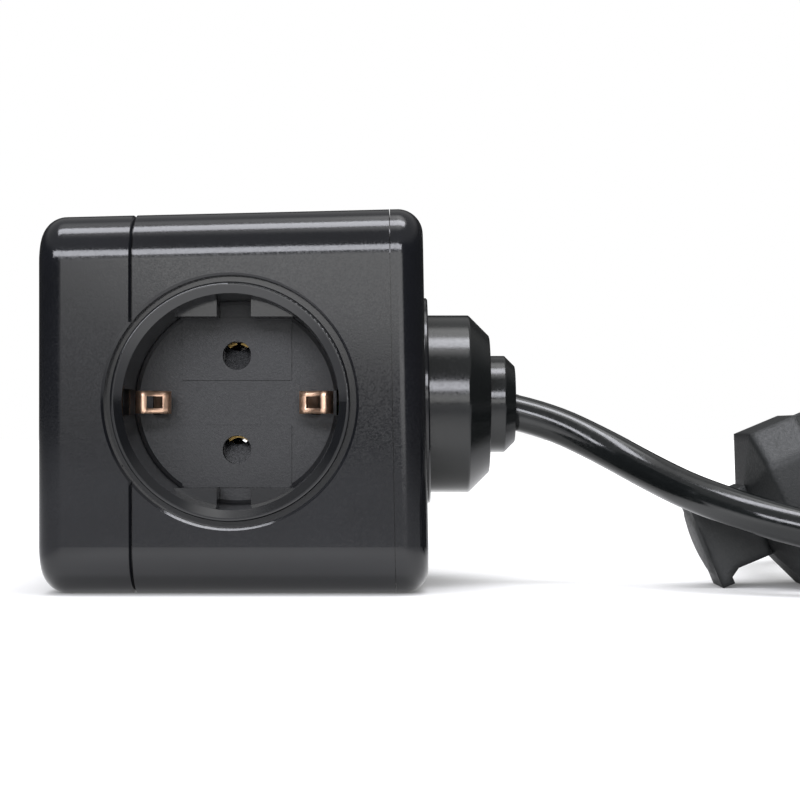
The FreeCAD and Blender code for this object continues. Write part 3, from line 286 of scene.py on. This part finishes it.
def wound_wire(name, start, end, outer, wire, turns, steps_a_turn=20, sides=8, closing=0.06):
    """A round wire wound about the line from start to end, with its end turns pressed closer together."""
    line = end - start
    along = line.normalized()
    across = along.orthogonal().normalized()
    third = along.cross(across)
    steps = int(turns * steps_a_turn)
    radius = outer - wire / 2
    made = bmesh.new()
    rings = []
    for i in range(steps + 1):
        share = i / steps
        angle = 2 * math.pi * turns * share
        lift_and_painted_glow = share - math.sin(2 * math.pi * share) * closing
        out = across * math.cos(angle) + third * math.sin(angle)
        middle = start + along * (wire / 2 + (line.length - wire) * lift_and_painted_glow) + out * radius
        rings.append([
            made.verts.new(middle + (out * math.cos(turn) + along * math.sin(turn)) * wire / 2)
            for turn in (2 * math.pi * k / sides for k in range(sides))
        ])
    for first, second in zip(rings, rings[1:]):
        for k in range(sides):
            after = (k + 1) % sides
            made.faces.new((first[k], first[after], second[after], second[k])).smooth = True
    made.faces.new(rings[0])
    made.faces.new(reversed(rings[-1]))
    return linked(made, name)


def bent_line(route, bend, steps=4):
    """The points of a sheet's bent section, each corner turned over a short curve."""
    line = [Vector(route[0])]
    for before, corner, after in zip(route, route[1:], route[2:]):
        before, corner, after = Vector(before), Vector(corner), Vector(after)
        start = corner + (before - corner).normalized() * bend
        end = corner + (after - corner).normalized() * bend
        for i in range(steps + 1):
            share = i / steps
            line.append(start.lerp(corner, share).lerp(corner.lerp(end, share), share))
    line.append(Vector(route[-1]))
    return line


# Earth clips

# From the middle of a socket's strap, out along it and up one clip to its hooked tip: across and outwards
CLIP_ROUTE = [
    (0.0, 0.0184),
    (0.0165, 0.0184),
    (0.0165, 0.0214),
    (0.0131, 0.0234),
    (0.0131, 0.0258),
    (0.0182, 0.0292),
    (0.0194, 0.0266),
]
CLIP_BEND = 0.0008
CLIP_THICKNESS = 0.0006
CLIP_WIDTH = 0.0045
# The window lies in the slope above the crest, between these distances across
CLIP_WINDOW = (0.0144, 0.0173)
CLIP_WINDOW_WIDTH = 0.0024
CLIP_WINDOW_ABOVE = 0.0262
ROUND_OFF = 1e-6


def clip_section():
    """The section of a strap and its two clips, with a point at each end of a window."""
    start, end = CLIP_ROUTE[-3], CLIP_ROUTE[-2]
    slope = (end[1] - start[1]) / (end[0] - start[0])
    half = bent_line(CLIP_ROUTE, CLIP_BEND)
    edges = [Vector((x, start[1] + (x - start[0]) * slope)) for x in CLIP_WINDOW]
    after_crest = next(i for i, point in enumerate(half) if point.y > edges[0].y)
    half[after_crest:after_crest] = edges
    return [Vector((-point.x, point.y)) for point in reversed(half[1:])] + half


def in_window(a, b):
    """Whether the stretch between two points of the section lies in a window."""
    near, far = sorted((abs(a.x), abs(b.x)))
    inside = near >= CLIP_WINDOW[0] - ROUND_OFF and far <= CLIP_WINDOW[1] + ROUND_OFF
    return inside and min(a.y, b.y) > CLIP_WINDOW_ABOVE


def clip_strip(name, line, placed):
    """A strap's bent strip with its windows, from its section and a function that places a point."""
    made = bmesh.new()
    widths = (-CLIP_WIDTH / 2, -CLIP_WINDOW_WIDTH / 2, CLIP_WINDOW_WIDTH / 2, CLIP_WIDTH / 2)
    rows = []
    for i, point in enumerate(line):
        ahead = (line[min(i + 1, len(line) - 1)] - line[max(i - 1, 0)]).normalized()
        normal = Vector((-ahead.y, ahead.x))
        rows.append([
            [made.verts.new(placed(point + normal * side * CLIP_THICKNESS / 2, y)) for y in widths]
            for side in (1, -1)
        ])
    cut = [in_window(a, b) for a, b in zip(line, line[1:])]
    for i, (first, second) in enumerate(zip(rows, rows[1:])):
        for k in (0, 2) if cut[i] else (0, 1, 2):
            for near, far in zip(first, second):
                made.faces.new((near[k], near[k + 1], far[k + 1], far[k])).smooth = True
        for k in (0, 1, 2, 3) if cut[i] else (0, 3):
            made.faces.new((first[0][k], second[0][k], second[1][k], first[1][k]))
    for i, (upper, lower) in enumerate(rows):
        if i in (0, len(rows) - 1):
            closed = (0, 1, 2)
        else:
            closed = (1,) if cut[i - 1] != cut[i] else ()
        for k in closed:
            made.faces.new((upper[k], upper[k + 1], lower[k + 1], lower[k]))
    return linked(made, name)


# Cord

LEAD_ROUTE = [
    (0.04735, -0.0009, 0.03595),
    (0.05469, -0.0018, 0.03419),
    (0.0655, -0.0055, 0.0289),
    (0.0743, -0.0129, 0.0237),
    (0.0814, -0.0224, 0.0198),
    (0.0891, -0.0302, 0.0168),
    (0.0987, -0.0367, 0.0137),
    (0.1127, -0.0419, 0.0106),
    (0.1277, -0.0429, 0.0078),
    (0.1423, -0.0395, 0.0056),
    (0.1563, -0.0318, 0.0043),
    (0.18039, -0.01454, 0.0039),
    (0.20292, 0.00123, 0.0039),
]
TAIL_ROUTE = [
    (0.14143, 0.08905, 0.0122),
    (0.12734, 0.07918, 0.0122),
    (0.113, 0.0642, 0.0136),
    (0.10516, 0.0442, 0.01769),
    (0.10516, 0.027, 0.01769),
]
# Half turns in the whole coil and in one of its layers, the angle at which it starts, and its clearance below
COIL_HALF_TURNS = 9
LAYER_HALF_TURNS = 4
COIL_ENTRY = math.radians(-55)
COIL_LIFT = 0.0001


def coil_point(sizes, half_turns):
    """A point of the coil: in two turns, up one layer in half a turn, and out two turns."""
    angle = math.pi * half_turns + COIL_ENTRY
    inner = sizes.coil_radius - LAYER_HALF_TURNS * sizes.coil_pitch / 2
    if half_turns < LAYER_HALF_TURNS:
        radius, climbed = sizes.coil_radius - sizes.coil_pitch / 2 * half_turns, 0
    elif half_turns <= LAYER_HALF_TURNS + 1:
        radius, climbed = inner, half_turns - LAYER_HALF_TURNS
    else:
        radius, climbed = inner + sizes.coil_pitch / 2 * (half_turns - LAYER_HALF_TURNS - 1), 1
    return Vector((
        sizes.coil_x + radius * math.cos(angle),
        sizes.coil_y + radius * math.sin(angle),
        sizes.cord_diameter / 2 + COIL_LIFT + sizes.coil_layer * climbed,
    ))


# Pieces


class LEAD_OT_cord(bpy.types.Operator):
    """Lays the cord from the gland through its coil to the plug"""

    bl_idname = "lead.cord"
    bl_label = "Cord"

    def execute(self, context):
        sizes, finishes = context.scene.lead_sizes, context.scene.lead_finishes
        count = COIL_HALF_TURNS * sizes.coil_points
        coil = [coil_point(sizes, i / sizes.coil_points) for i in range(count + 1)]
        points = [*LEAD_ROUTE, *coil, *TAIL_ROUTE]
        curve = bpy.data.curves.new("cord", "CURVE")
        curve.dimensions = "3D"
        curve.bevel_depth = sizes.cord_diameter / 2
        curve.bevel_resolution = 7
        curve.resolution_u = 6
        curve.use_fill_caps = True
        spline = curve.splines.new("NURBS")
        spline.points.add(len(points) - 1)
        for point, place in zip(spline.points, points):
            point.co = (*place, 1)
        spline.order_u = 3
        spline.use_endpoint_u = True
        # PVC sheath: extruded, so its satin gloss has faint streaks and no mould grain
        sheath = moulded_plastic(
            "Extruded PVC sheath", finishes.sheath, grain=0.0011, relief=0.003, gloss=0.14, ior=1.52)
        curve.materials.append(sheath)
        give(sheath, "cord_end")
        cord = bpy.data.objects.new("cord", curve)
        context.scene.collection.objects.link(cord)
        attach(cord, "housing")
        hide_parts("cord_lead", "cord_coil", "cord_tail")
        return {"FINISHED"}


class LEAD_OT_housing(bpy.types.Operator):
    """Finishes the three housing shells and their screws"""

    bl_idname = "lead.housing"
    bl_label = "Housing"

    def execute(self, context):
        finishes = context.scene.lead_finishes
        # ABS: a spark-eroded tool gives it a fine sparkle over a clear gloss
        shell = moulded_plastic("Moulded ABS", finishes.housing, finishes.grain, relief=0.003, gloss=0.12)
        give(shell, "left_cap", "middle_shell", "right_cap")
        # Zinc-plated steel: bright, with a slight haze from the plating bath
        give(drawn_metal("Zinc-plated steel", finishes.plating, gloss=0.3), "housing_screws", "clamp_screws")
        return {"FINISHED"}


class LEAD_OT_sockets(bpy.types.Operator):
    """Finishes the socket inserts and their shutters"""

    bl_idname = "lead.sockets"
    bl_label = "Sockets"

    def execute(self, context):
        finishes = context.scene.lead_finishes
        # Polyamide: polished rings that mirror the room, and matt floors that only shade
        insert = eroded_insert("Moulded polyamide", finishes.socket, gloss=0.14, floor_gloss=0.5)
        # Acetal: smooth and dark, a shade duller than the rings
        shutter = moulded_plastic(
            "Moulded acetal", finishes.socket, grain=0.0004, relief=0.006, gloss=0.25, ior=1.48)
        for side in OUTWARD:
            give(insert, f"socket_well_{side}")
            give(shutter, f"shutter_{side}")
        return {"FINISHED"}


class LEAD_OT_earth_clips(bpy.types.Operator):
    """Bends the earth clips of each socket out of one strip"""

    bl_idname = "lead.earth_clips"
    bl_label = "Earth clips"

    def execute(self, context):
        finishes = context.scene.lead_finishes
        # Phosphor bronze: rolled strip, satin, a warm pink where it catches light
        bronze = drawn_metal("Rolled phosphor bronze", finishes.clip, gloss=0.4)
        line = clip_section()
        for side, outward in OUTWARD.items():
            outward = Vector(outward)
            along_strip = -Vector(JOINTS[f"{side}_shutter_slide"]["axis"])
            across = along_strip.cross(outward)

            def placed(point, y):
                return Vector(CUBE_MIDDLE) + across * point.x + outward * point.y + along_strip * y

            clip = clip_strip(f"earth_clip_{side}", line, placed)
            clip.data.materials.append(bronze)
            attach(clip, "housing")
            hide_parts(f"earth_clips_{side}")
        return {"FINISHED"}


class LEAD_OT_springs(bpy.types.Operator):
    """Winds the spring behind each shutter"""

    bl_idname = "lead.springs"
    bl_label = "Shutter springs"

    def execute(self, context):
        sizes, finishes = context.scene.lead_sizes, context.scene.lead_finishes
        # Spring steel: hard-drawn wire, bright grey with fine die marks
        steel = drawn_metal("Drawn spring steel", finishes.plating, gloss=0.28)
        for side in OUTWARD:
            low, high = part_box(f"shutter_spring_{side}")
            towards_peg = Vector(JOINTS[f"{side}_shutter_slide"]["axis"])
            middle, half = (low + high) / 2, (high - low) / 2
            reach = max(half)
            fixed, pushed = middle + towards_peg * reach, middle - towards_peg * reach
            spring = wound_wire(
                f"spring_{side}", fixed, pushed, min(half), sizes.spring_wire, sizes.spring_turns)
            spring.data.materials.append(steel)
            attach(spring, "housing")
            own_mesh(spring)
            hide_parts(f"shutter_spring_{side}")
        return {"FINISHED"}


class LEAD_OT_wiring(bpy.types.Operator):
    """Finishes the contact block, the contacts, the busbars and the cord's cores"""

    bl_idname = "lead.wiring"
    bl_label = "Wiring"

    def execute(self, context):
        finishes = context.scene.lead_finishes
        # Brass: punched and folded from rolled sheet, yellow with patches of tarnish; its colour is darkened
        # as painted shade for the contacts deep in the pin holes
        brass = drawn_metal("Rolled brass", finishes.brass, gloss=0.3)
        for pole in ("live", "neutral"):
            give(brass, *(f"{pole}_contact_{where}" for where in ("front_back", "top_bottom", "left")))
        give(brass, "live_link", "neutral_link", "earth_link")
        # PBT: the block's pale filled plastic is dull
        filled = moulded_plastic("Moulded PBT", finishes.block, grain=0.0005, relief=0.015, gloss=0.5)
        give(filled, "contact_block", "cord_clamp")
        # PVC insulation: a satin skin, and each core has its own colour, the earth core with a stripe
        for name, code, core in (("Brown", "#5A3320", "live_core"), ("Blue", "#2C5FA8", "neutral_core")):
            skin = moulded_plastic(
                f"{name} extruded PVC", linear(code), grain=0.0008, relief=0.01, gloss=0.4, ior=1.53)
            give(skin, core)
        give(striped_insulation("Striped extruded PVC", linear("#3E8E3A"), linear("#E0C62E")), "earth_core")
        return {"FINISHED"}


class LEAD_OT_outlet(bpy.types.Operator):
    """Finishes the collar and the gland that the cord leaves by"""

    bl_idname = "lead.outlet"
    bl_label = "Outlet"

    def execute(self, context):
        finishes = context.scene.lead_finishes
        # Polypropylene: a slightly softer gloss than the shells'
        soft = moulded_plastic(
            "Moulded polypropylene", finishes.outlet, grain=0.0005, relief=0.004, gloss=0.16, ior=1.49)
        give(soft, "outlet_collar", "cord_gland")
        return {"FINISHED"}


class LEAD_OT_plug(bpy.types.Operator):
    """Finishes the plug, its pins, its earth strips and its strain relief"""

    bl_idname = "lead.plug"
    bl_label = "Plug"

    def execute(self, context):
        finishes = context.scene.lead_finishes
        # Thermoplastic rubber: an etched mould leaves it dull and pebbled, with softened edges
        rubber = moulded_plastic(
            "Moulded rubber", finishes.plug, finishes.plug_grain, relief=0.05, gloss=0.5, ior=1.5,
            edge=0.0025)
        give(rubber, "plug_head", "plug_grip", "plug_strain_relief")
        # Nickel-plated brass: turned pins with a warm white polish
        nickel = drawn_metal("Nickel-plated brass", finishes.plating, gloss=0.18)
        give(nickel, "plug_pins", "plug_earth_strips")
        return {"FINISHED"}


# Studio

FLOOR_HALF = 6.0
LAMP_TINT = "#F6F7FF"
# What the lamps look at
CUBE_CENTRE = (-0.01, 0, 0.04)
# A range holds two levels and where each is reached: metres on the floor, or a part of a direction.
# The floor's own light: a lift to white for the camera, and a painted glow for gloss, which sees it only near
# the object and less beside it
FLOOR_SEEN = (0.55, 1.0, 0.25, 0.7)
PAINTED_GLOW_NEAR_OBJECT = (1.1, 0.0, 0.07, 0.2)
PAINTED_GLOW_FROM_LEFT = (0.1, 1, -0.08, -0.04)
PAINTED_GLOW_TO_RIGHT = (1, 0.35, 0.03, 0.08)
# The painted shadow under the object, from ambient occlusion, in which that light fades, and how far it
# reaches
FLOOR_SHADOW = (0.2, 1, 0.1, 0.9)
SHADOW_REACH = 0.03
# The wall that the front faces, brighter on the left
WALL_FACING = (1, 0, -0.96, -0.92)
WALL_ACROSS = (0.9, 0.3, -0.15, 0.0)
# The low window in that wall, over a sill that slopes
WINDOW_ACROSS = (1.12, 2.8, -0.16, -0.12)
WINDOW_SILL = (0, 1, 0.03, 0.04)
WINDOW_HEAD = (1, 0, 0.18, 0.22)
SILL_SLOPE = 0.2
# The ceiling, brighter on the right, and the haze, faint below and stronger from half height up
CEILING_UP = (0, 1, 0.88, 0.95)
CEILING_ACROSS = (0.9, 2.2, -0.1, 0.02)
HAZE_UP = (0.05, 0.4, 0.4, 0.6)


def floor_paint():
    """Matt white paint, lifted for the camera, with a painted glow for gloss; the object's shadow is cast and
    also painted.
    """
    material, tree, place = started("Matt white paint")
    rays = add(tree, "ShaderNodeLightPath").outputs
    reach = add(tree, "ShaderNodeVectorMath", {0: place}, operation="LENGTH")
    across = add(tree, "ShaderNodeSeparateXYZ", {0: place}).outputs["X"]
    seen = add(tree, "ShaderNodeMapRange", spread(reach, *FLOOR_SEEN))
    for_camera = add(tree, "ShaderNodeMath", {0: rays["Is Camera Ray"], 1: seen}, operation="MULTIPLY")
    painted_glow_for_gloss = rays["Is Glossy Ray"]
    # Painted glow: the floor shines only in reflections, near the object and less beside it, as a painted
    # reflection of a lit floor
    for value, levels in ((reach, PAINTED_GLOW_NEAR_OBJECT), (across, PAINTED_GLOW_FROM_LEFT), (across, PAINTED_GLOW_TO_RIGHT)):
        part = add(tree, "ShaderNodeMapRange", spread(value, *levels))
        painted_glow_for_gloss = add(tree, "ShaderNodeMath", {0: painted_glow_for_gloss, 1: part}, operation="MULTIPLY")
    lift_and_painted_glow = add(tree, "ShaderNodeMath", {0: for_camera, 1: painted_glow_for_gloss}, operation="ADD")
    # Painted shadow: ambient occlusion darkens the floor's own light under and beside the object
    painted_shadow_ao = add(tree, "ShaderNodeAmbientOcclusion", {"Distance": SHADOW_REACH}, samples=8).outputs["AO"]
    shadow = add(tree, "ShaderNodeMapRange", spread(painted_shadow_ao, *FLOOR_SHADOW))
    level = add(tree, "ShaderNodeMath", {0: lift_and_painted_glow, 1: shadow}, operation="MULTIPLY")
    paint = mottled(tree, place, linear("#C4C4C4"), 60.0, detail=2.0, darker=0.99, lighter=1.01)
    matt = add(tree, "ShaderNodeBsdfDiffuse", {"Color": paint})
    lift = add(tree, "ShaderNodeEmission", {"Strength": level})
    both = add(tree, "ShaderNodeAddShader", {0: matt, 1: lift})
    add(tree, "ShaderNodeOutputMaterial", {"Surface": both})
    return material


def pale_floor():
    """The floor that the object stands on."""
    corners = [(x * FLOOR_HALF, y * FLOOR_HALF, 0) for x, y in ((-1, -1), (1, -1), (1, 1), (-1, 1))]
    mesh = bpy.data.meshes.new("floor")
    mesh.from_pydata(corners, [], [(0, 1, 2, 3)])
    mesh.materials.append(floor_paint())
    floor = bpy.data.objects.new("floor", mesh)
    bpy.context.scene.collection.objects.link(floor)


def room():
    """Soft surroundings: a wall with a low window, a ceiling and haze, and plain white for the camera."""
    world = bpy.data.worlds.new("studio_room")
    bpy.context.scene.world = world
    world.use_nodes = True
    tree = world.node_tree
    tree.nodes.clear()
    rays = add(tree, "ShaderNodeLightPath").outputs
    place = add(tree, "ShaderNodeTexCoord").outputs["Generated"]
    across, away, up = add(tree, "ShaderNodeSeparateXYZ", {0: place}).outputs
    sill = add(tree, "ShaderNodeMath", {0: across, 1: SILL_SLOPE, 2: up}, operation="MULTIPLY_ADD")
    level = add(tree, "ShaderNodeMapRange", spread(up, *HAZE_UP))
    wall = ((away, WALL_FACING), (across, WALL_ACROSS))
    window = ((away, WALL_FACING), (across, WINDOW_ACROSS), (sill, WINDOW_SILL), (up, WINDOW_HEAD))
    ceiling = ((up, CEILING_UP), (across, CEILING_ACROSS))
    for ranges in (wall, window, ceiling):
        part, *others = (add(tree, "ShaderNodeMapRange", spread(value, *levels)) for value, levels in ranges)
        for other in others:
            part = add(tree, "ShaderNodeMath", {0: part, 1: other}, operation="MULTIPLY")
        level = add(tree, "ShaderNodeMath", {0: level, 1: part}, operation="ADD")
    straight = {0: rays["Is Camera Ray"], 1: rays["Is Transmission Ray"]}
    plain = add(tree, "ShaderNodeMath", straight, operation="MAXIMUM")
    level = add(tree, "ShaderNodeMix", {"Factor": plain, "A": level, "B": 1.0})
    white = add(tree, "ShaderNodeBackground", {"Color": (1, 1, 1, 1), "Strength": level})
    add(tree, "ShaderNodeOutputWorld", {"Surface": white})


def softbox(name, place, size, depth, watts):
    """A softbox that looks at the cube."""
    light = bpy.data.lights.new(name, "AREA")
    light.shape = "RECTANGLE"
    light.size = size
    light.size_y = depth
    light.energy = watts
    light.color = linear(LAMP_TINT)
    lamp = bpy.data.objects.new(name, light)
    lamp.location = place
    lamp.rotation_euler = (Vector(CUBE_CENTRE) - Vector(place)).to_track_quat("-Z", "Y").to_euler()
    bpy.context.scene.collection.objects.link(lamp)


def level_camera():
    """A camera that looks straight at the front socket's side, level with the cube's lower half."""
    camera = bpy.data.objects.new("camera", bpy.data.cameras.new("camera"))
    camera.data.lens = 93.06
    camera.data.sensor_width = 36
    camera.data.shift_x = -0.00875
    camera.data.shift_y = 0.0375
    camera.data.clip_start = 0.01
    camera.location = (0.02465, -0.4377, 0.0322)
    camera.rotation_euler = (math.pi / 2, 0, 0)
    bpy.context.scene.collection.objects.link(camera)
    bpy.context.scene.camera = camera


class LEAD_OT_studio(bpy.types.Operator):
    """Builds the pale floor, the softboxes, the surroundings and the camera"""

    bl_idname = "lead.studio"
    bl_label = "Studio"

    def execute(self, context):
        context.scene.view_settings.view_transform = "Standard"
        pale_floor()
        room()
        softbox("overhead_softbox", (0.0, -0.1, 1.04), size=0.9, depth=0.28, watts=7)
        softbox("front_softbox", (-0.35, -1.3, 0.61), size=1.7, depth=0.32, watts=20)
        level_camera()
        return {"FINISHED"}


class LEAD_PT_panel(bpy.types.Panel):
    """Lists the lead's sizes, its finishes and the operators that build it"""

    bl_idname = "LEAD_PT_panel"
    bl_label = "Extension lead"
    bl_space_type = "VIEW_3D"
    bl_region_type = "UI"
    bl_category = "Lead"

    def draw(self, context):
        for group in (context.scene.lead_sizes, context.scene.lead_finishes):
            column = self.layout.column()
            for name in group.__annotations__:
                column.prop(group, name)
        column = self.layout.column()
        for operator in OPERATORS:
            column.operator(operator.bl_idname)


OPERATORS = (
    LEAD_OT_studio,
    LEAD_OT_cord,
    LEAD_OT_housing,
    LEAD_OT_sockets,
    LEAD_OT_earth_clips,
    LEAD_OT_springs,
    LEAD_OT_wiring,
    LEAD_OT_outlet,
    LEAD_OT_plug,
)
CLASSES = (LeadFinishes, LeadSizes, *OPERATORS, LEAD_PT_panel)


def register():
    for kind in CLASSES:
        bpy.utils.register_class(kind)
    bpy.types.Scene.lead_finishes = PointerProperty(type=LeadFinishes)
    bpy.types.Scene.lead_sizes = PointerProperty(type=LeadSizes)


def unregister():
    del bpy.types.Scene.lead_sizes
    del bpy.types.Scene.lead_finishes
    for kind in reversed(CLASSES):
        bpy.utils.unregister_class(kind)


def main():
    register()
    bpy.ops.lead.studio()
    bpy.ops.lead.cord()
    bpy.ops.lead.housing()
    bpy.ops.lead.sockets()
    bpy.ops.lead.earth_clips()
    bpy.ops.lead.springs()
    bpy.ops.lead.wiring()
    bpy.ops.lead.outlet()
    bpy.ops.lead.plug()


if __name__ == "__main__":
    main()
